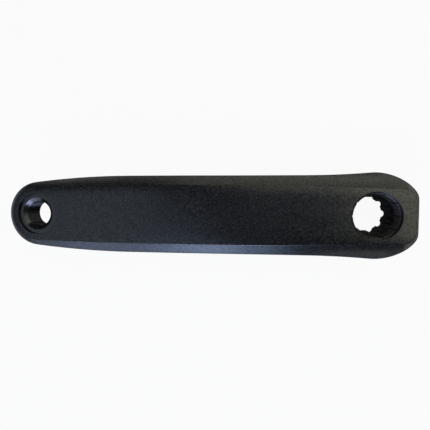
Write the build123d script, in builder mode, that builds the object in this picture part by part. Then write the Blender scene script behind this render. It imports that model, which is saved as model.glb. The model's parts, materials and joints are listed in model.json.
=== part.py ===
"""Bicycle crank arm, one forging: a splined spindle boss, a bevelled arm and a threaded pedal eye.

The origin is on the spindle axis at the boss's inboard face. +Z points outboard, away from the bicycle,
and the arm runs along -X to the pedal eye. All sizes are in millimetres and degrees.
"""

import os
from math import acos, atan2, cos, degrees, sin

from build123d import *

# Axes and levels
crank_length = 170.0  # spindle axis to pedal axis
boss_thickness = 32.0  # inboard face to outer face, on the spindle axis
outer_rise = 3.25  # climb of the outer face from the spindle axis to the pedal axis
eye_thickness = 13.6  # outer face to inner pad, on the pedal axis

# Widest outline of the arm, seen from outboard
eye_radius = 16.75
belly_swell = 3.0  # how far the belly stands out past the eye
belly_distance = 122.0  # from the spindle axis
waist_draw = 0.25  # how far the waist draws in from the belly
waist_distance = 31.0  # from the spindle axis
boss_swell = 1.25  # how far the boss stands out past the waist
nose_trim = 2.5  # how far the nose is cut back flat from the boss's round
nose_corner_radius = 6.0

# Flat outer face, and the bevels round it
bevel_angle = 50.0  # from the arm's upright walls
bevel_at_eye = 3.1
bevel_at_nose = 1.2
face_swell = 1.1  # how far the face's sides stand out past its round end
face_belly_distance = 90.0  # from the spindle axis
face_draw = 2.1  # how far they draw in again by the nose
face_corner_radius = 6.0
bevel_edge_radius = 0.8
outline_edge_radius = 1.2

# Inner side
pad_length = 70.0  # flat inner pad, from the eye's tip
foot_distance = 17.0  # spindle axis to the end of the flat under the boss
foot_radius = 85.0  # hollow between the foot and the web
inner_edge_radius = 4.0

# Pedal eye, for a 9/16 inch pedal thread with 20 turns to the inch
pedal_crest_radius = 6.46
pedal_chamfer = 0.85  # at the inner pad
pedal_mouth = 2.0  # countersink under the washer seat, across and down
pedal_mouth_depth = 1.2
washer_seat_radius = 10.6
washer_seat_depth = 1.0

# Puller thread in the outer end of the spindle bore, M22 x 1
puller_crest_radius = 10.46
puller_thread_height = 0.54
puller_depth = 14.0  # outer face to the end of the thread
lead_clearance = 0.1  # plain lead-in past the thread's root
lead_depth = 2.0
lead_chamfer = 0.4

# Spindle spline
groove_count = 10
groove_depth = 1.56
groove_round = 1.75  # radius of a groove's rounded root
groove_trace = 0.1  # how far the grooves reach past the puller thread's crest
spline_lead = 1.2  # lead-in at the inboard face

# Length by which cutting tools pass the surfaces they cut
run_out = 5.0

tilt = atan2(outer_rise, crank_length)
eye_tip = -crank_length - eye_radius
eye_level = boss_thickness + outer_rise
pad_level = eye_level - eye_thickness
seat_level = eye_level - washer_seat_depth
lead_level = boss_thickness - lead_depth
lead_radius = puller_crest_radius + puller_thread_height + lead_clearance
groove_root_radius = puller_crest_radius + groove_trace
tooth_radius = groove_root_radius - groove_depth

belly_half_width = eye_radius + belly_swell
waist_half_width = belly_half_width - waist_draw
boss_radius = waist_half_width + boss_swell
nose_distance = boss_radius - nose_trim
nose_angle = degrees(acos((nose_distance - nose_corner_radius) / (boss_radius - nose_corner_radius)))

face_eye_radius = eye_radius - bevel_at_eye
face_half_width = face_eye_radius + face_swell
face_nose = nose_distance - bevel_at_nose
face_corner = Vector(face_nose - face_corner_radius, face_half_width - face_draw - face_corner_radius)

# Plane of the outer face, which slopes down from the eye to the nose
face_plane = Plane(
    origin=(0, 0, boss_thickness),
    x_dir=(cos(tilt), 0, -sin(tilt)),
    z_dir=(sin(tilt), 0, cos(tilt)),
)


def on_slope(distance):
    """Place along the sloping face of what lies at a distance from the spindle axis."""
    return -distance / cos(tilt)


def turn(step, run):
    """Angle at which an arc that starts level meets a round whose top lies a step away over a run."""
    return degrees(2 * atan2(step, run))


with BuildPart() as crank_arm:
    # Upright walls, from the widest outline
    with BuildSketch():
        eye_flare = turn(belly_swell, crank_length - belly_distance)
        boss_flare = turn(boss_swell, waist_distance)
        belly = Vector(-belly_distance, belly_half_width)
        waist = Vector(-waist_distance, waist_half_width)
        with BuildLine():
            eye = CenterArc((-crank_length, 0), eye_radius, 90 + eye_flare, 180 - 2 * eye_flare)
            to_belly = TangentArc(eye @ 0, belly, tangent=-(eye % 0))
            from_belly = TangentArc(belly, (belly + waist) / 2, tangent=(1, 0))
            to_waist = TangentArc(from_belly @ 1, waist, tangent=from_belly % 1)
            boss = CenterArc((0, 0), boss_radius, 90 + boss_flare, nose_angle - 90 - boss_flare)
            from_waist = TangentArc(waist, boss @ 0, tangent=(1, 0))
            corner = JernArc(boss @ 1, boss % 1, nose_corner_radius, -nose_angle)
            mirror((to_belly, from_belly, to_waist, from_waist, boss, corner), about=Plane.XZ)
            Line(corner @ 1, (nose_distance, -(corner @ 1).Y))
        make_face()
    extrude(amount=eye_level + run_out)

    # Bevels, which fall away from the flat outer face at one angle
    with BuildSketch(face_plane):
        eye_flare = turn(face_swell, crank_length - face_belly_distance)
        corner_flare = turn(face_draw, face_belly_distance + face_corner.X)
        belly = Vector(on_slope(face_belly_distance), face_half_width)
        with BuildLine():
            eye = CenterArc((on_slope(crank_length), 0), face_eye_radius, 90 + eye_flare, 180 - 2 * eye_flare)
            to_belly = TangentArc(eye @ 0, belly, tangent=-(eye % 0))
            corner = CenterArc(face_corner, face_corner_radius, 90 - corner_flare, corner_flare - 90)
            from_belly = TangentArc(belly, corner @ 0, tangent=(1, 0))
            mirror((to_belly, from_belly, corner), about=Plane.XZ)
            Line(corner @ 1, (face_nose, -(corner @ 1).Y))
        make_face()
    extrude(amount=-eye_level - run_out, taper=-bevel_angle, mode=Mode.INTERSECT)
    fillet(crank_arm.edges(Select.NEW), outline_edge_radius)
    outer_face = crank_arm.faces().filter_by(face_plane).sort_by(Axis.Z)[-1]
    fillet(outer_face.edges(), bevel_edge_radius)

    # Inner side: the pad under the eye, the web, and the foot of the boss
    with BuildSketch(Plane.XZ):
        pad_end = Vector(eye_tip + pad_length, pad_level)
        foot_end = Vector(-foot_distance, 0)
        sweep = (pad_end - foot_end).length ** 2 / (2 * pad_level)  # both radii of the web's S together
        bend = foot_end + (pad_end - foot_end) * foot_radius / sweep
        with BuildLine():
            pad = Line((eye_tip - run_out, pad_level), pad_end)
            web = TangentArc(pad_end, bend, tangent=(1, 0))
            foot = TangentArc(bend, foot_end, tangent=web % 1)
            Polyline(
                foot_end,
                (boss_radius + run_out, 0),
                (boss_radius + run_out, -eye_level),
                (eye_tip - run_out, -eye_level),
                pad @ 0,
            )
        make_face()
    extrude(amount=boss_radius + run_out, both=True, mode=Mode.SUBTRACT)
    fillet(crank_arm.edges(Select.NEW), inner_edge_radius)

    # Pedal bore, chamfered at the pad and countersunk under its washer seat
    with BuildSketch(Plane.XZ.move(Location((-crank_length, 0, 0)))):
        with BuildLine():
            Polyline(
                (0, pad_level - run_out),
                (pedal_crest_radius + pedal_chamfer + run_out, pad_level - run_out),
                (pedal_crest_radius, pad_level + pedal_chamfer),
                (pedal_crest_radius, seat_level - pedal_mouth_depth),
                (pedal_crest_radius + pedal_mouth, seat_level),
                (washer_seat_radius, seat_level),
                (washer_seat_radius, eye_level + run_out),
                (0, eye_level + run_out),
                close=True,
            )
        make_face()
    revolve(axis=Axis((-crank_length, 0, 0), (0, 0, 1)), mode=Mode.SUBTRACT)

    # Puller bore, with a plain lead-in before its thread
    with BuildSketch(Plane.XZ):
        with BuildLine():
            Polyline(
                (0, boss_thickness - puller_depth),
                (puller_crest_radius, boss_thickness - puller_depth),
                (puller_crest_radius, lead_level - lead_radius + puller_crest_radius),
                (lead_radius, lead_level),
                (lead_radius, boss_thickness - lead_chamfer),
                (lead_radius + lead_chamfer + run_out, boss_thickness + run_out),
                (0, boss_thickness + run_out),
                close=True,
            )
        make_face()
    revolve(axis=Axis.Z, mode=Mode.SUBTRACT)

    # Spline, broached right through, so that its grooves leave traces in the puller thread
    with BuildSketch():
        Circle(tooth_radius)
        with PolarLocations(groove_root_radius - groove_round, groove_count):
            Circle(groove_round)
    extrude(amount=boss_thickness + run_out, mode=Mode.SUBTRACT)

    # Lead-in of the spline at the inboard face
    with BuildSketch(Plane.XZ):
        with BuildLine():
            Polyline(
                (0, -run_out),
                (tooth_radius + spline_lead + run_out, -run_out),
                (tooth_radius, spline_lead),
                (0, spline_lead),
                close=True,
            )
        make_face()
    revolve(axis=Axis.Z, mode=Mode.SUBTRACT)

crank_arm.part.label = "crank_arm"
os.makedirs("parts", exist_ok=True)
export_step(crank_arm.part, "parts/crank_arm.step")
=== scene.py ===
"""Bicycle crank arm: its cut threads, its satin coat and the stage round it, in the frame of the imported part.

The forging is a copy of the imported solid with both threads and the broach's traces cut into it. Sizes are in
metres.
"""

import json
import math

import bmesh
import bpy
from bpy.props import FloatProperty, FloatVectorProperty, IntProperty, PointerProperty
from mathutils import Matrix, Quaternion, Vector


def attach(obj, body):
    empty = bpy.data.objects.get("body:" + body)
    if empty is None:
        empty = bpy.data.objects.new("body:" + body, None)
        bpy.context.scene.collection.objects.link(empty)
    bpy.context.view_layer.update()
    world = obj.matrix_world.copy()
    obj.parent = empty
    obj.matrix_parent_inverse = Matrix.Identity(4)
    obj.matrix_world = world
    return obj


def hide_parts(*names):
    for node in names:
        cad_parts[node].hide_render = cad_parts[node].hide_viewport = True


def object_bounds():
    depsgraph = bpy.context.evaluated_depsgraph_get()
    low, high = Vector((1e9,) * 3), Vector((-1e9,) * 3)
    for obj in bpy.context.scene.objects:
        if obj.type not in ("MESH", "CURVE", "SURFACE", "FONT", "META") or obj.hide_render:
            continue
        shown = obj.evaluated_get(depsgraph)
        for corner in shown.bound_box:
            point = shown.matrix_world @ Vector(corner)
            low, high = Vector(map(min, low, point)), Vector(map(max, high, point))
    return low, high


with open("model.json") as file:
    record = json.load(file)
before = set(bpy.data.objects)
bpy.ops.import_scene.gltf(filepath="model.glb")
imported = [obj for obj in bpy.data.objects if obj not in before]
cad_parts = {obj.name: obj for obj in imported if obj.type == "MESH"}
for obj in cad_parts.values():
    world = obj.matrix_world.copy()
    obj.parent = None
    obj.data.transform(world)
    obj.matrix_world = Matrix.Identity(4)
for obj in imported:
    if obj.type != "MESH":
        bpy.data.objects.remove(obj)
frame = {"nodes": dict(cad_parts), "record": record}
CAD_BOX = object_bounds()

bl_info = {
    "name": "Bicycle crank arm",
    "version": (1, 0, 0),
    "blender": (4, 5, 0),
    "location": "3D View > Sidebar > Crank arm",
    "description": "Cuts the threads of a crank arm, coats it and sets it on a stage",
    "category": "Object",
}

ARM_NODE = "crank_arm"
MM = 0.001

# Cutting tools
LEFT_HAND = -1.0
RIGHT_HAND = 1.0
TAP_START = 0.0137  # in turns; keeps a tap's columns off those of the bore's wall
TAP_ROWS = 8  # in one turn
TAP_CORE_CLEARANCE = 0.15 * MM  # how far a tap's core stays inside the crests
TAP_SEAM = 0.002 * MM  # how near the points on a tap's seam have to be, to be joined
HALF_OPENING = 3 / 8  # of a thread's groove, in pitches
HALF_ROOT = 1 / 16  # of the flat at the groove's root, in pitches
BROACH_INSIDE = 0.5 * MM  # how far the broach's teeth reach inside the crests
BROACH_BELOW = 0.3 * MM  # how far they pass the inner end of the crests

# Joining and shading of the cut mesh
COPY_JOIN = 0.0005 * MM  # how near the copy's points have to be, to be joined
CUT_JOIN = 0.001 * MM  # the same for points that a cut leaves
SHARP_ANGLE = math.radians(30)

# Bands over which the coat changes, out from the pedal axis or the spindle axis
PEDAL_WALL = (7.2 * MM, 7.25 * MM)
SEAT_RIM = (10.55 * MM, 10.65 * MM)
BORE_RIM = (11.5 * MM, 11.6 * MM)

# Bands over which it changes, up from the inboard face
SPLINE_TOP = (17.8 * MM, 18.2 * MM)
PULLER_FOOT = (18.2 * MM, 18.6 * MM)
OUTER_SIDE = (27 * MM, 29 * MM)
PULLER_TOP = (29.4 * MM, 29.8 * MM)
PEDAL_MOUTH = (32.9 * MM, 33.1 * MM)

# Bands over which it changes with the way that the surface faces, where 1 is straight outboard
RIDGE_START = (0.80, 0.88)
RIDGE_END = (0.975, 0.995)
FLAT_FACE = (0.95, 0.99)

# Sides of the outer face, and how its ridge changes along the arm
BELLY_ALONG = -90 * MM
BELLY_HALF_WIDTH = 14.7 * MM
SIDE_CURVE = 0.19  # fall of the half width, for the square of the way from the belly
TO_BOSS = (-60 * MM, -15 * MM)
TO_NOSE = (2 * MM, 14 * MM)
BOSS_ROLL = 0.3  # how much more the face rolls off by the boss
BOSS_BOW = 0.5  # how much more the bevels are bowed there

# Grain, flecks, clouds and scratches, and the part of each noise that shows
GRAIN_TOPS = (0.38, 0.62)
GRAIN_DEPTH = 0.03 * MM
FLECK_RATE = 1.8  # flecks to a grain
FLECK_TOPS = (0.58, 0.70)
CLOUD_RATE = 60.0  # clouds to a metre
SCRATCH_LENGTH = 12 * MM
SCRATCH_WIDTH = 0.35 * MM
SCRATCH_TURN = math.radians(-20)
SCRATCH_TOPS = (0.82, 0.90)
SCRATCH_RUB = 0.3  # how far a scratch shows the rubbed colour, which also paints the ridge's highlight
RING_DEPTH = 0.002 * MM  # of the turning marks

# How far the coat's shine is dulled: between its grains; on the pedal thread's wall, where it is painted shade;
# and on the spline, partly for its rough broached faces and partly as painted shade
GRAIN_DULLNESS = 0.36
WALL_PAINTED_SHADE = 0.8
SPLINE_DULLNESS_AND_SHADE = 0.9

# Roughness that the coat's features add to it, and that the washer seat lacks
GRAIN_ROUGHNESS = 0.08
CLOUD_ROUGHNESS = 0.04
BORE_ROUGHNESS = 0.2
SCRATCH_ROUGHNESS = 0.05
SEAT_SMOOTHNESS = 0.06

# Stage
FLOOR_REACH = 2.0
FLOOR_GAP = 0.02 * MM  # keeps the floor off the boss's inboard face
FRAME_WIDTH = 36  # of the camera, in mm
NEAREST = 0.01  # that the camera sees
BLACK = (0, 0, 0, 1)
WHITE = (1, 1, 1, 1)


def mount(name):
    """Place, radius and length of one of the part's threaded mounts, in metres."""
    found = next(m for m in frame["record"]["mounts"] if m["name"] == name)
    return Vector(found["pos_m"]), found["dims"]["r_mm"] * MM, found["dims"]["length_mm"] * MM


PEDAL_PLACE, PEDAL_CREST, PEDAL_LENGTH = mount("pedal_thread")
PULLER_PLACE, PULLER_CREST, PULLER_LENGTH = mount("puller_thread")


class PedalThread(bpy.types.PropertyGroup):
    """Left-hand thread in the pedal eye."""

    pitch: FloatProperty(
        name="Pitch", description="Climb of the thread in one turn",
        default=1.27 * MM, min=0.2 * MM, unit="LENGTH",
    )
    height: FloatProperty(
        name="Height", description="Crest of the thread to its root",
        default=0.68 * MM, min=0.1 * MM, unit="LENGTH",
    )
    run_out: FloatProperty(
        name="Run-out", description="How far the tap passes each end of the crests",
        default=1.4 * MM, unit="LENGTH",
    )
    steps: IntProperty(name="Steps", description="Steps in one turn", default=72, min=24)


class PullerThread(bpy.types.PropertyGroup):
    """Puller thread in the spindle bore, and the broach's traces across it."""

    pitch: FloatProperty(
        name="Pitch", description="Climb of the thread in one turn",
        default=1 * MM, min=0.2 * MM, unit="LENGTH",
    )
    height: FloatProperty(
        name="Height", description="Crest of the thread to its root",
        default=0.54 * MM, min=0.1 * MM, unit="LENGTH",
    )
    run_out: FloatProperty(
        name="Run-out", description="How far the tap passes the outer end of the crests",
        default=1 * MM, unit="LENGTH",
    )
    clearance: FloatProperty(
        name="Clearance", description="How far the tap stops short of the spline",
        default=1.1 * MM, unit="LENGTH",
    )
    steps: IntProperty(name="Steps", description="Steps in one turn", default=96, min=24)
    traces: IntProperty(name="Traces", description="Number of traces left by the broach", default=10, min=1)
    trace_width: FloatProperty(
        name="Trace width", description="Width of a trace",
        default=0.7 * MM, min=0.1 * MM, unit="LENGTH",
    )
    trace_depth: FloatProperty(
        name="Trace depth", description="Depth of a trace below the crests",
        default=0.5 * MM, min=0.15 * MM, unit="LENGTH",
    )


class ArmFinish(bpy.types.PropertyGroup):
    """The satin coat of the forging."""

    coat: FloatVectorProperty(
        name="Coat", description="Colour of the coat",
        default=(0.0040, 0.0041, 0.0043), size=3, min=0, max=1, subtype="COLOR",
    )
    fleck: FloatVectorProperty(
        name="Flecks", description="Colour of the coat's fine flecks",
        default=(0.026, 0.027, 0.029), size=3, min=0, max=1, subtype="COLOR",
    )
    # Lighter colour of the rubbed scratches and of the ridge, where it is partly rubbed coat and partly a
    # painted highlight
    rubbed_and_highlight: FloatVectorProperty(
        name="Rubbed coat and ridge highlight", description="Lighter colour of scratches, and of the ridge, partly rubbed and partly a painted highlight",
        default=(0.024, 0.024, 0.022), size=3, min=0, max=1, subtype="COLOR",
    )
    # Painted sheen: the puller thread is painted lighter, for the light that it catches
    thread_sheen: FloatVectorProperty(
        name="Thread sheen", description="Lighter colour of the puller thread, a painted sheen",
        default=(0.042, 0.039, 0.034), size=3, min=0, max=1, subtype="COLOR",
    )
    roughness: FloatProperty(
        name="Roughness", description="Roughness of the coat",
        default=0.24, min=0, max=1, subtype="FACTOR",
    )
    grain: FloatProperty(
        name="Grain", description="Width of the coat's fine grain",
        default=1.0 * MM, min=0.05 * MM, unit="LENGTH",
    )
    turning: FloatProperty(
        name="Turning marks", description="Spacing of the marks left by turning",
        default=0.22 * MM, min=0.05 * MM, unit="LENGTH",
    )
    roll_width: FloatProperty(
        name="Roll-off", description="Band along the face's edges that polishing has rolled off",
        default=5 * MM, min=0.5 * MM, unit="LENGTH",
    )
    roll_slope: FloatProperty(
        name="Roll-off slope", description="Slope of the rolled-off face at its very edge",
        default=0.095, min=0,
    )
    bevel_bow: FloatProperty(
        name="Bevel bow", description="Fall of the bowed bevels, for the square of the way out from the face",
        default=10, min=0,
    )
    bevel_lift: FloatProperty(
        name="Bevel lift", description="Slope by which the bevels are flatter beside the face",
        default=0.08, min=0,
    )


class StageLook(bpy.types.PropertyGroup):
    """The floor, the room, the camera and the soft light."""

    floor: FloatVectorProperty(
        name="Floor", description="Colour of the floor",
        default=(0.5, 0.5, 0.5), size=3, min=0, max=1, subtype="COLOR",
    )
    room: FloatVectorProperty(
        name="Room", description="Colour of the unlit room",
        default=(0.02, 0.02, 0.021), size=3, min=0, max=1, subtype="COLOR",
    )
    white_share: FloatProperty(
        name="White share", description="How far floor and room show plain white",
        default=0.94, min=0, max=1, subtype="FACTOR",
    )
    gloss_share: FloatProperty(
        name="White share in gloss", description="How far the satin coat mirrors that white",
        default=0.03, min=0, max=1, subtype="FACTOR",
    )
    camera_place: FloatVectorProperty(
        name="Camera", description="Place of the camera",
        default=(-44.97 * MM, 10.0 * MM, 218.85 * MM), size=3, subtype="TRANSLATION",
    )
    camera_turn: FloatVectorProperty(
        name="Camera turn", description="Turn of the camera about Z, then Y, then X",
        default=(math.radians(-3.051), math.radians(9.378), math.radians(0.567)), size=3, subtype="EULER",
    )
    lens: FloatProperty(
        name="Lens", description="Focal length, in mm on a 36 mm frame",
        default=32.28, min=10,
    )


class Wire:
    """An output of a node, on which arithmetic adds Math nodes."""

    def __init__(self, tree, socket=None):
        self.tree = tree
        self.socket = socket

    def make(self, kind, settings, values, output=0):
        """Adds a node to the tree, sets it and its inputs, and gives one of its outputs."""
        node = self.tree.nodes.new(kind)
        for name, value in settings.items():
            setattr(node, name, value)
        for name, value in values.items():
            if isinstance(value, Wire):
                self.tree.links.new(value.socket, node.inputs[name])
            else:
                node.inputs[name].default_value = value
        return Wire(self.tree, node.outputs[output] if len(node.outputs) else None)

    def other(self, name):
        """Another output of the same node."""
        return Wire(self.tree, self.socket.node.outputs[name])

    def maths(self, operation, *others):
        """A Math node on this value and the others."""
        return self.make("ShaderNodeMath", {"operation": operation}, dict(enumerate((self, *others))))

    def __add__(self, value):
        return self.maths("ADD", value)

    __radd__ = __add__

    def __mul__(self, value):
        return self.maths("MULTIPLY", value)

    __rmul__ = __mul__

    def __sub__(self, value):
        return self.maths("SUBTRACT", value)

    def __rsub__(self, value):
        return (self * -1) + value

    def __truediv__(self, value):
        return self.maths("DIVIDE", value)

    def at_least(self, value):
        """The larger of this value and another."""
        return self.maths("MAXIMUM", value)

    def at_most(self, value):
        """The smaller of this value and another."""
        return self.maths("MINIMUM", value)

    def held(self):
        """This value, held between 0 and 1."""
        return self.at_most(1.0).at_least(0.0)

    def inside(self, low, high):
        """This value's way from low to high, held between 0 and 1."""
        return ((self - low) / (high - low)).held()

    def blend(self, first, second):
        """A colour mixed from two others, with this value as the second one's share."""
        # A Mix node repeats its sockets' names for each type of data, so the colours go by number
        return self.make("ShaderNodeMix", {"data_type": "RGBA"}, {0: self, 6: first, 7: second}, 2)


def with_alpha(colour):
    """A colour as a node's socket holds it."""
    return tuple(colour) + (1.0,)


def new_material(name):
    """An empty node material and its starting wire."""
    material = bpy.data.materials.new(name)
    material.use_nodes = True
    material.node_tree.nodes.clear()
    return material, Wire(material.node_tree)


def distance_round(along, across):
    """Distance from an axis, from the two distances that make it up."""
    return (along * along + across * across).maths("SQRT")


def noise(coords, rate, detail, roughness):
    """Noise in space, with so many features to a metre."""
    return coords.make(
        "ShaderNodeTexNoise", {"noise_dimensions": "3D"},
        {"Vector": coords, "Scale": rate, "Detail": detail, "Roughness": roughness},
    )


def scratches(coords):
    """A few faint scratches, each long and thin."""
    stretched = coords.make(
        "ShaderNodeMapping", {"vector_type": "TEXTURE"},
        {"Vector": coords, "Rotation": (0, 0, SCRATCH_TURN), "Scale": (SCRATCH_LENGTH, SCRATCH_WIDTH, 1)},
    )
    streaks = coords.make(
        "ShaderNodeTexNoise", {"noise_dimensions": "2D"}, {"Vector": stretched, "Scale": 1.0, "Detail": 0.0}
    )
    return streaks.inside(*SCRATCH_TOPS)


def ridge_drop(finish, along, across):
    """How far the coat falls below the solid by the ridge between the outer face and its bevels.

    The face rolls off at its edge. The bevels are bowed, and a little flatter beside the face.
    """
    from_belly = along - BELLY_ALONG
    half_width = BELLY_HALF_WIDTH - from_belly * from_belly * SIDE_CURVE
    past_pedal = (along - PEDAL_PLACE.x).at_most(0.0)
    from_edge = half_width - distance_round(past_pedal, across)
    rolled = 1 - from_edge.inside(0.0, finish.roll_width)
    past_edge = from_edge.at_most(0.0)

    before_nose = 1 - along.inside(*TO_NOSE)
    by_boss = along.inside(*TO_BOSS) * before_nose
    roll = (0.5 * finish.roll_slope * finish.roll_width) * (1 + BOSS_ROLL * by_boss)
    bow = finish.bevel_bow * (1 + BOSS_BOW * by_boss) * before_nose
    lift = past_edge * before_nose * finish.bevel_lift
    return rolled * rolled * roll + past_edge * past_edge * bow + lift


def satin_coat(finish):
    """Dark satin coat: fine grain, a soft ridge that is partly rubbed and partly a painted highlight, faint
    scratches, turned faces in the bores, painted shade on the pedal thread's wall and the spline, and a painted
    sheen on the puller thread.
    """
    material, wire = new_material("arm satin coat")
    coords = wire.make("ShaderNodeTexCoord", {}, {}, "Object")
    along = wire.make("ShaderNodeSeparateXYZ", {}, {"Vector": coords}, "X")
    across = along.other("Y")
    height = along.other("Z")
    facing = wire.make("ShaderNodeSeparateXYZ", {}, {"Vector": coords.other("Normal")}, "Z")
    pedal_round = distance_round(along - PEDAL_PLACE.x, across)
    spindle_round = distance_round(along, across)

    # Turned faces: the washer seat, the pedal thread's wall, and the spindle bore with its spline and thread
    seat = 1 - pedal_round.inside(*SEAT_RIM)
    wall = (1 - pedal_round.inside(*PEDAL_WALL)) * (1 - height.inside(*PEDAL_MOUTH))
    bore = 1 - spindle_round.inside(*BORE_RIM)
    spline = bore * (1 - height.inside(*SPLINE_TOP))
    thread = bore * height.inside(*PULLER_FOOT) * (1 - height.inside(*PULLER_TOP))
    unturned = 1 - seat.at_least(bore)
    rings = (pedal_round / finish.turning * math.tau).maths("SINE") * seat

    # Grain of the coat, fine and coarse
    grain = noise(coords, 1 / finish.grain, detail=2.0, roughness=0.6)
    flecks = noise(coords, FLECK_RATE / finish.grain, detail=1.0, roughness=0.5)
    cloud = noise(coords, CLOUD_RATE, detail=3.0, roughness=0.55)
    sparkle = grain.inside(*GRAIN_TOPS)

    # Wear and painted highlight on the outer side: scratches on the flat face, and a lighter line along its
    # ridge that is partly rubbed coat and partly a painted highlight
    outer = height.inside(*OUTER_SIDE)
    scratch = scratches(coords) * outer * unturned * facing.inside(*FLAT_FACE)
    ridge = facing.inside(*RIDGE_START) * (1 - facing.inside(*RIDGE_END)) * outer * unturned
    patchy = 0.25 + 0.5 * cloud
    rub_and_highlight_share = ridge * patchy + scratch * SCRATCH_RUB

    # Colour: the coat, half way from black to twice its own, then flecks, the scratches' rubbed coat, the
    # ridge's lighter line (partly rubbed, partly a painted highlight) and the puller thread's painted sheen
    grain_shade = 0.5 + 1.2 * sparkle
    cloud_shade = 0.85 + 0.3 * cloud
    coat = (grain_shade * cloud_shade * 0.5).blend(BLACK, with_alpha(2 * part for part in finish.coat))
    flecked = (flecks.inside(*FLECK_TOPS) * unturned).blend(coat, with_alpha(finish.fleck))
    # The ridge's lighter line is partly rubbed coat and partly a painted highlight; the scratches are rubbed
    # coat
    rubbed_and_highlit = rub_and_highlight_share.blend(flecked, with_alpha(finish.rubbed_and_highlight))
    # The puller thread is painted lighter: a painted sheen
    colour = thread.blend(rubbed_and_highlit, with_alpha(finish.thread_sheen))

    # Shine: a surface this dark mirrors less as it turns metallic, so that share dulls it. On the pedal
    # thread's wall this is painted shade, and on the spline it is partly painted shade
    dullness_and_shade = GRAIN_DULLNESS * (1 - sparkle) * unturned + WALL_PAINTED_SHADE * wall + SPLINE_DULLNESS_AND_SHADE * spline
    smoothest = finish.roughness - (GRAIN_ROUGHNESS + CLOUD_ROUGHNESS) / 2
    satin = smoothest + GRAIN_ROUGHNESS * grain + CLOUD_ROUGHNESS * cloud
    roughness = satin + BORE_ROUGHNESS * bore - SEAT_SMOOTHNESS * seat + SCRATCH_ROUGHNESS * scratch

    relief = grain * GRAIN_DEPTH + rings * RING_DEPTH - ridge_drop(finish, along, across)
    bump = wire.make("ShaderNodeBump", {}, {"Strength": 1.0, "Distance": 1.0, "Height": relief})
    surface = wire.make(
        "ShaderNodeBsdfPrincipled", {},
        {"Base Color": colour, "Metallic": dullness_and_shade, "Roughness": roughness, "Normal": bump},
    )
    wire.make("ShaderNodeOutputMaterial", {}, {"Surface": surface})
    return material


def new_tree(name, numbers, counts):
    """A Geometry Nodes tree with named inputs, and a wire from its inputs."""
    tree = bpy.data.node_groups.new(name, "GeometryNodeTree")
    tree.interface.new_socket("Geometry", in_out="OUTPUT", socket_type="NodeSocketGeometry")
    for number in numbers:
        tree.interface.new_socket(number, in_out="INPUT", socket_type="NodeSocketFloat")
    for count in counts:
        tree.interface.new_socket(count, in_out="INPUT", socket_type="NodeSocketInt")
    tree.interface.new_socket("Material", in_out="INPUT", socket_type="NodeSocketMaterial")
    return tree, Wire(tree).make("NodeGroupInput", {}, {}, "Material")


def end_tree(given, shape):
    """Ends a tree: real geometry, with its material."""
    real = given.make("GeometryNodeRealizeInstances", {}, {"Geometry": shape})
    coated = given.make("GeometryNodeSetMaterial", {}, {"Geometry": real, "Material": given})
    given.make("NodeGroupOutput", {}, {"Geometry": coated})


def thread_tap_tree():
    """A tap: a sheared sheet wrapped round an axis, with the thread's groove along it."""
    tree, given = new_tree(
        "Thread tap",
        ("Pitch", "Core radius", "Crest radius", "Root radius", "Bottom", "Top", "Hand"),
        ("Turns", "Steps", "Rows"),
    )
    pitch = given.other("Pitch")
    core = given.other("Core radius")
    crest = given.other("Crest radius")
    bottom = given.other("Bottom")

    sheet = given.make(
        "GeometryNodeMeshGrid", {},
        {"Size X": 1.0, "Size Y": 1.0, "Vertices X": given.other("Steps"), "Vertices Y": given.other("Rows")},
    )
    place = given.make("GeometryNodeInputPosition", {}, {})
    flat = given.make("ShaderNodeSeparateXYZ", {}, {"Vector": place}, "X")
    around = flat + 0.5
    climb = (flat.other("Y") + 0.5) * given.other("Turns")
    height = bottom + pitch * (climb + around - 1)

    # Groove of a 60 degree thread, narrower at its root, that fades at both ends
    off_middle = (climb.maths("FRACT") - 0.5).maths("ABSOLUTE")
    groove = ((HALF_OPENING - off_middle) / (HALF_OPENING - HALF_ROOT)).at_most(1.0)
    cut = (crest + (given.other("Root radius") - crest) * groove).at_least(core)
    enter = ((height - bottom) / pitch).held()
    leave = ((given.other("Top") - height) / pitch).held()
    radius = core + (cut - core) * enter * leave
    turn = (around * given.other("Hand") + TAP_START) * math.tau
    wrapped = given.make(
        "ShaderNodeCombineXYZ", {},
        {"X": radius * turn.maths("COSINE"), "Y": radius * turn.maths("SINE"), "Z": height},
    )
    shaped = given.make("GeometryNodeSetPosition", {}, {"Geometry": sheet, "Position": wrapped})
    end_tree(given, given.make("GeometryNodeMergeByDistance", {}, {"Geometry": shaped, "Distance": TAP_SEAM}))
    return tree


def broach_tree():
    """The broach's narrow teeth: one bar, repeated round the bore's axis."""
    tree, given = new_tree(
        "Broach traces", ("Width", "Inner radius", "Outer radius", "Bottom", "Top"), ("Count",)
    )
    inner = given.other("Inner radius")
    outer = given.other("Outer radius")
    bottom = given.other("Bottom")
    top = given.other("Top")
    size = given.make(
        "ShaderNodeCombineXYZ", {}, {"X": outer - inner, "Y": given.other("Width"), "Z": top - bottom}
    )
    middle = given.make(
        "ShaderNodeCombineXYZ", {}, {"X": (outer + inner) / 2, "Y": 0.0, "Z": (top + bottom) / 2}
    )
    block = given.make("GeometryNodeMeshCube", {}, {"Size": size})
    bar = given.make("GeometryNodeTransform", {}, {"Geometry": block, "Translation": middle})
    places = given.make(
        "GeometryNodeMeshLine", {"mode": "OFFSET"}, {"Count": given.other("Count"), "Offset": (0, 0, 0)}
    )
    turn = given.make("GeometryNodeInputIndex", {}, {}) / given.other("Count") * math.tau
    euler = given.make("ShaderNodeCombineXYZ", {}, {"X": 0.0, "Y": 0.0, "Z": turn})
    rotation = given.make("FunctionNodeEulerToRotation", {}, {"Euler": euler})
    teeth = given.make(
        "GeometryNodeInstanceOnPoints", {}, {"Points": places, "Instance": bar, "Rotation": rotation}
    )
    end_tree(given, teeth)
    return tree


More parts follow.
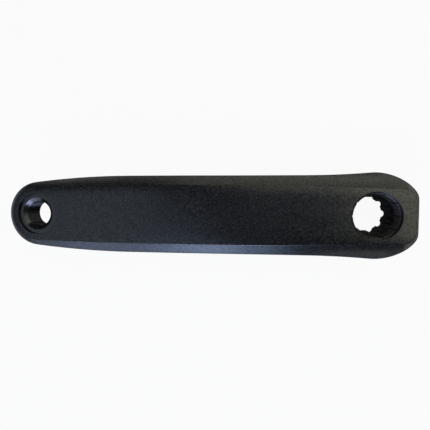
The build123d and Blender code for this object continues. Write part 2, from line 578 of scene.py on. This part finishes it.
def keep_closed(work, name):
    """Stops if a mesh has an edge that isn't shared by just two faces."""
    open_edges = sum(1 for edge in work.edges if not edge.is_manifold)
    if open_edges:
        raise RuntimeError(f"{name} has {open_edges} open edges")


def cutter(name, tree, values, place):
    """A closed cutting tool made by a tree, as a loose object that stands on an axis through a place."""
    maker = bpy.data.objects.new(name, bpy.data.meshes.new(name))
    bpy.context.collection.objects.link(maker)
    modifier = maker.modifiers.new(name, "NODES")
    modifier.node_group = tree
    for item in tree.interface.items_tree:
        if item.in_out == "INPUT":
            modifier[item.identifier] = values[item.name]
    bpy.context.view_layer.update()
    mesh = bpy.data.meshes.new_from_object(maker.evaluated_get(bpy.context.evaluated_depsgraph_get()))
    bpy.data.objects.remove(maker)
    bpy.data.node_groups.remove(tree)

    work = bmesh.new()
    work.from_mesh(mesh)
    bmesh.ops.translate(work, verts=work.verts, vec=(place.x, place.y, 0))
    bmesh.ops.holes_fill(work, edges=[e for e in work.edges if e.is_boundary], sides=0)
    bmesh.ops.triangulate(work, faces=[f for f in work.faces if len(f.verts) > 4])
    bmesh.ops.recalc_face_normals(work, faces=work.faces)
    keep_closed(work, name)
    work.to_mesh(mesh)
    work.free()
    tool = bpy.data.objects.new(name, mesh)
    bpy.context.collection.objects.link(tool)
    return tool


def thread_tap(name, thread, hand, place, crest, bottom, top, material):
    """A closed tap for one thread, standing on the thread's axis."""
    turns = math.ceil((top - bottom) / thread.pitch) + 1
    values = {
        "Pitch": thread.pitch,
        "Core radius": crest - TAP_CORE_CLEARANCE,
        "Crest radius": crest,
        "Root radius": crest + thread.height,
        "Bottom": bottom,
        "Top": top,
        "Hand": hand,
        "Turns": turns,
        "Steps": thread.steps + 1,
        "Rows": turns * TAP_ROWS + 1,
        "Material": material,
    }
    return cutter(name, thread_tap_tree(), values, place)


def merged_copy(node, name):
    """A copy of a node of the frame, with its loose triangles joined and no normals of its own."""
    mesh = frame["nodes"][node].data.copy()
    mesh.name = name
    if mesh.has_custom_normals:
        mesh.attributes.remove(mesh.attributes["custom_normal"])
    work = bmesh.new()
    work.from_mesh(mesh)
    bmesh.ops.remove_doubles(work, verts=work.verts, dist=COPY_JOIN)
    work.to_mesh(mesh)
    work.free()
    mesh.materials.clear()
    piece = bpy.data.objects.new(name, mesh)
    bpy.context.collection.objects.link(piece)
    return piece


def settle(piece):
    """Turns a piece's modifiers into its plain mesh."""
    bpy.context.view_layer.update()
    mesh = bpy.data.meshes.new_from_object(piece.evaluated_get(bpy.context.evaluated_depsgraph_get()))
    piece.modifiers.clear()
    old = piece.data
    piece.data = mesh
    bpy.data.meshes.remove(old)


def cut_with(piece, tool):
    """Cuts a piece with a closed tool, clears the tool away and joins what the cut left loose."""
    cut = piece.modifiers.new(tool.name, "BOOLEAN")
    cut.operation = "DIFFERENCE"
    cut.solver = "EXACT"
    cut.object = tool
    settle(piece)
    bpy.data.objects.remove(tool)
    work = bmesh.new()
    work.from_mesh(piece.data)
    bmesh.ops.remove_doubles(work, verts=work.verts, dist=CUT_JOIN)
    bmesh.ops.dissolve_degenerate(work, edges=work.edges, dist=CUT_JOIN)
    keep_closed(work, piece.name)
    work.to_mesh(piece.data)
    work.free()


def smooth_between_edges(piece, sharp_angle):
    """Shades a piece smooth, but for edges sharper than an angle."""
    piece.data.shade_smooth()
    piece.data.set_sharp_from_angle(angle=sharp_angle)
    even = piece.modifiers.new("Even shading", "WEIGHTED_NORMAL")
    even.keep_sharp = True
    settle(piece)


class CRANK_OT_arm(bpy.types.Operator):
    """Copies the forging, cuts its threads and traces, and coats it"""

    bl_idname = "crank.arm"
    bl_label = "Make the arm"

    def execute(self, context):
        pedal = context.scene.pedal_thread
        puller = context.scene.puller_thread
        coat = satin_coat(context.scene.arm_finish)
        arm = merged_copy(ARM_NODE, "arm_forging")
        arm.data.materials.append(coat)

        pedal_reach = PEDAL_LENGTH / 2 + pedal.run_out
        puller_foot = PULLER_PLACE.z - PULLER_LENGTH / 2
        puller_top = PULLER_PLACE.z + PULLER_LENGTH / 2 + puller.run_out
        trace_sizes = {
            "Width": puller.trace_width,
            "Inner radius": PULLER_CREST - BROACH_INSIDE,
            "Outer radius": PULLER_CREST + puller.trace_depth,
            "Bottom": puller_foot - BROACH_BELOW,
            "Top": puller_top,
            "Count": puller.traces,
            "Material": coat,
        }
        tools = (
            thread_tap(
                "pedal tap", pedal, LEFT_HAND, PEDAL_PLACE, PEDAL_CREST,
                PEDAL_PLACE.z - pedal_reach, PEDAL_PLACE.z + pedal_reach, coat,
            ),
            thread_tap(
                "puller tap", puller, RIGHT_HAND, PULLER_PLACE, PULLER_CREST,
                puller_foot + puller.clearance, puller_top, coat,
            ),
            cutter("broach teeth", broach_tree(), trace_sizes, PULLER_PLACE),
        )
        for tool in tools:
            cut_with(arm, tool)
        smooth_between_edges(arm, SHARP_ANGLE)

        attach(arm, "root")
        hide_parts(ARM_NODE)
        return {"FINISHED"}


def shown_share(wire, look):
    """How far a surface of the stage shows plain white, by the kind of ray that meets it."""
    camera = wire.make("ShaderNodeLightPath", {}, {}, "Is Camera Ray")
    clear = camera.at_least(camera.other("Is Transmission Ray"))
    return (clear * look.white_share).at_least(camera.other("Is Glossy Ray") * look.gloss_share)


# Ways that the soft panels face
DOWN = (0, 0, -1)
TO_BACK = (0, 1, 0)
TO_FRONT = (0, -1, 0)
TO_LEFT = (-1, 0, 0)

# Where the soft panels hang: the ceiling's height, and the walls before and behind the arm
CEILING = 0.535
FRONT = -0.5
BACK = 0.5

# Soft panels: name, place, facing, size, brightness in red, green and blue, and a turn in degrees for one
PANELS = (
    ("left panel", (-0.50, -0.11, CEILING), DOWN, (0.28, 0.38), (0.66, 0.76, 0.92)),
    ("left panel near", (-0.3025, -0.11, CEILING), DOWN, (0.115, 0.38), (0.64, 0.74, 0.92)),
    ("left panel end", (-0.1975, -0.1725, CEILING), DOWN, (0.095, 0.255), (0.76, 0.95, 1.35)),
    ("middle panel", (0.01, 0.01, CEILING), DOWN, (0.22, 0.12), (0.17, 0.19, 0.26)),
    ("middle panel back", (0.01, 0.185, CEILING), DOWN, (0.22, 0.23), (1.13, 1.12, 1.0)),
    ("ridge panel", (-0.135, 0.26, CEILING), DOWN, (0.07, 0.20), (1.3, 1.3, 1.2)),
    ("right panel", (0.267, 0.245, CEILING), DOWN, (0.50, 0.60), (2.25, 2.25, 1.82), 32),
    ("nose panel", (0.27, 0.05, CEILING), DOWN, (0.20, 0.45), (1.2, 1.2, 1.08)),
    ("window far left", (-0.575, FRONT, 0.125), TO_BACK, (0.25, 0.25), (0.75, 0.88, 1.0)),
    ("window left", (-0.345, FRONT, 0.125), TO_BACK, (0.21, 0.25), (1.6, 1.9, 2.9)),
    ("window middle", (-0.205, FRONT, 0.125), TO_BACK, (0.07, 0.25), (2.7, 3.7, 5.8)),
    ("window middle right", (-0.14, FRONT, 0.125), TO_BACK, (0.06, 0.25), (3.9, 5.2, 7.8)),
    ("window right", (-0.065, FRONT, 0.125), TO_BACK, (0.09, 0.25), (1.6, 2.2, 3.4)),
    ("window top far left", (-0.60, FRONT, 0.33), TO_BACK, (0.24, 0.16), (1.5, 1.7, 2.3)),
    ("window top left", (-0.385, FRONT, 0.38), TO_BACK, (0.19, 0.18), (2.7, 3.1, 4.2)),
    ("window top right", (-0.15, FRONT, 0.575), TO_BACK, (0.28, 0.35), (6.8, 8.0, 12.5)),
    ("front wall foot", (0.16, -0.3, 0.0125), TO_BACK, (0.28, 0.025), (0.9, 0.9, 0.8)),
    ("back wall foot far left", (-0.47, BACK, 0.045), TO_FRONT, (0.18, 0.09), (1.7, 1.7, 1.64)),
    ("back wall foot left", (-0.24, BACK, 0.045), TO_FRONT, (0.28, 0.09), (1.1, 1.1, 1.06)),
    ("back wall foot right", (0.18, BACK, 0.045), TO_FRONT, (0.56, 0.09), (1.45, 1.45, 1.28)),
    ("back wall", (0.12, BACK, 0.195), TO_FRONT, (0.68, 0.21), (0.88, 0.9, 0.76)),
    ("right wall foot", (0.20, -0.05, 0.025), TO_LEFT, (0.60, 0.05), (1.5, 1.5, 1.35)),
)


def soft_panel(name, place, facing, size, light, turn=0):
    """A rectangular soft light of an even brightness, which the camera doesn't see."""
    lamp = bpy.data.lights.new(name, "AREA")
    lamp.shape = "RECTANGLE"
    lamp.size, lamp.size_y = size
    lamp.color = [part / max(light) for part in light]
    lamp.energy = max(light) * math.pi * size[0] * size[1]
    panel = bpy.data.objects.new(name, lamp)
    bpy.context.collection.objects.link(panel)
    panel.location = place
    panel.rotation_mode = "QUATERNION"
    spin = Quaternion((0, 0, 1), math.radians(turn))
    panel.rotation_quaternion = (-Vector(facing)).to_track_quat("Z", "Y") @ spin
    panel.visible_camera = False


class CRANK_OT_stage(bpy.types.Operator):
    """Sets the floor, the room, the camera and the soft light"""

    bl_idname = "crank.stage"
    bl_label = "Set the stage"

    def execute(self, context):
        scene = context.scene
        look = scene.crank_stage

        # Floor, pale under its light and whiter to the camera
        material, wire = new_material("pale floor")
        paint = wire.make("ShaderNodeBsdfDiffuse", {}, {"Color": with_alpha(look.floor)})
        glow = wire.make("ShaderNodeEmission", {}, {"Color": WHITE, "Strength": 1.0})
        mixed = wire.make("ShaderNodeMixShader", {}, {0: shown_share(wire, look), 1: paint, 2: glow})
        wire.make("ShaderNodeOutputMaterial", {}, {"Surface": mixed})
        floor = bpy.data.objects.new("floor", bpy.data.meshes.new("floor"))
        work = bmesh.new()
        bmesh.ops.create_grid(work, x_segments=1, y_segments=1, size=FLOOR_REACH)
        bmesh.ops.translate(work, verts=work.verts, vec=(0, 0, CAD_BOX[0][2] - FLOOR_GAP))
        work.to_mesh(floor.data)
        work.free()
        floor.data.materials.append(material)
        context.collection.objects.link(floor)

        # Room: white to the camera, dim to the object
        world = bpy.data.worlds.new("studio")
        scene.world = world
        world.use_nodes = True
        world.node_tree.nodes.clear()
        wire = Wire(world.node_tree)
        room = wire.make("ShaderNodeBackground", {}, {"Color": with_alpha(look.room), "Strength": 1.0})
        backdrop = wire.make("ShaderNodeBackground", {}, {"Color": WHITE, "Strength": 1.0})
        mixed = wire.make("ShaderNodeMixShader", {}, {0: shown_share(wire, look), 1: room, 2: backdrop})
        wire.make("ShaderNodeOutputWorld", {}, {"Surface": mixed})

        for panel in PANELS:
            soft_panel(*panel)

        # Camera
        lens = bpy.data.cameras.new("camera")
        lens.lens = look.lens
        lens.sensor_width = FRAME_WIDTH
        lens.clip_start = NEAREST
        camera = bpy.data.objects.new("camera", lens)
        context.collection.objects.link(camera)
        camera.location = look.camera_place
        camera.rotation_mode = "ZYX"
        camera.rotation_euler = look.camera_turn
        scene.camera = camera
        scene.view_settings.view_transform = "Standard"
        return {"FINISHED"}


class CRANK_PT_panel(bpy.types.Panel):
    """Sizes and colours of the crank arm, and the steps that make it"""

    bl_idname = "CRANK_PT_panel"
    bl_label = "Crank arm"
    bl_space_type = "VIEW_3D"
    bl_region_type = "UI"
    bl_category = "Crank arm"

    def draw(self, context):
        for pointer in POINTERS:
            group = getattr(context.scene, pointer)
            box = self.layout.box()
            box.label(text=group.bl_rna.description)
            for name in group.bl_rna.properties.keys():
                if name not in ("rna_type", "name"):
                    box.prop(group, name)
        self.layout.operator(CRANK_OT_arm.bl_idname)
        self.layout.operator(CRANK_OT_stage.bl_idname)


CLASSES = (PedalThread, PullerThread, ArmFinish, StageLook, CRANK_OT_arm, CRANK_OT_stage, CRANK_PT_panel)
POINTERS = {
    "pedal_thread": PedalThread,
    "puller_thread": PullerThread,
    "arm_finish": ArmFinish,
    "crank_stage": StageLook,
}


def register():
    for cls in CLASSES:
        bpy.utils.register_class(cls)
    for name, group in POINTERS.items():
        setattr(bpy.types.Scene, name, PointerProperty(type=group))


def unregister():
    for name in POINTERS:
        delattr(bpy.types.Scene, name)
    for cls in reversed(CLASSES):
        bpy.utils.unregister_class(cls)


def main():
    register()
    bpy.ops.crank.arm()
    bpy.ops.crank.stage()


if __name__ == "__main__":
    main()
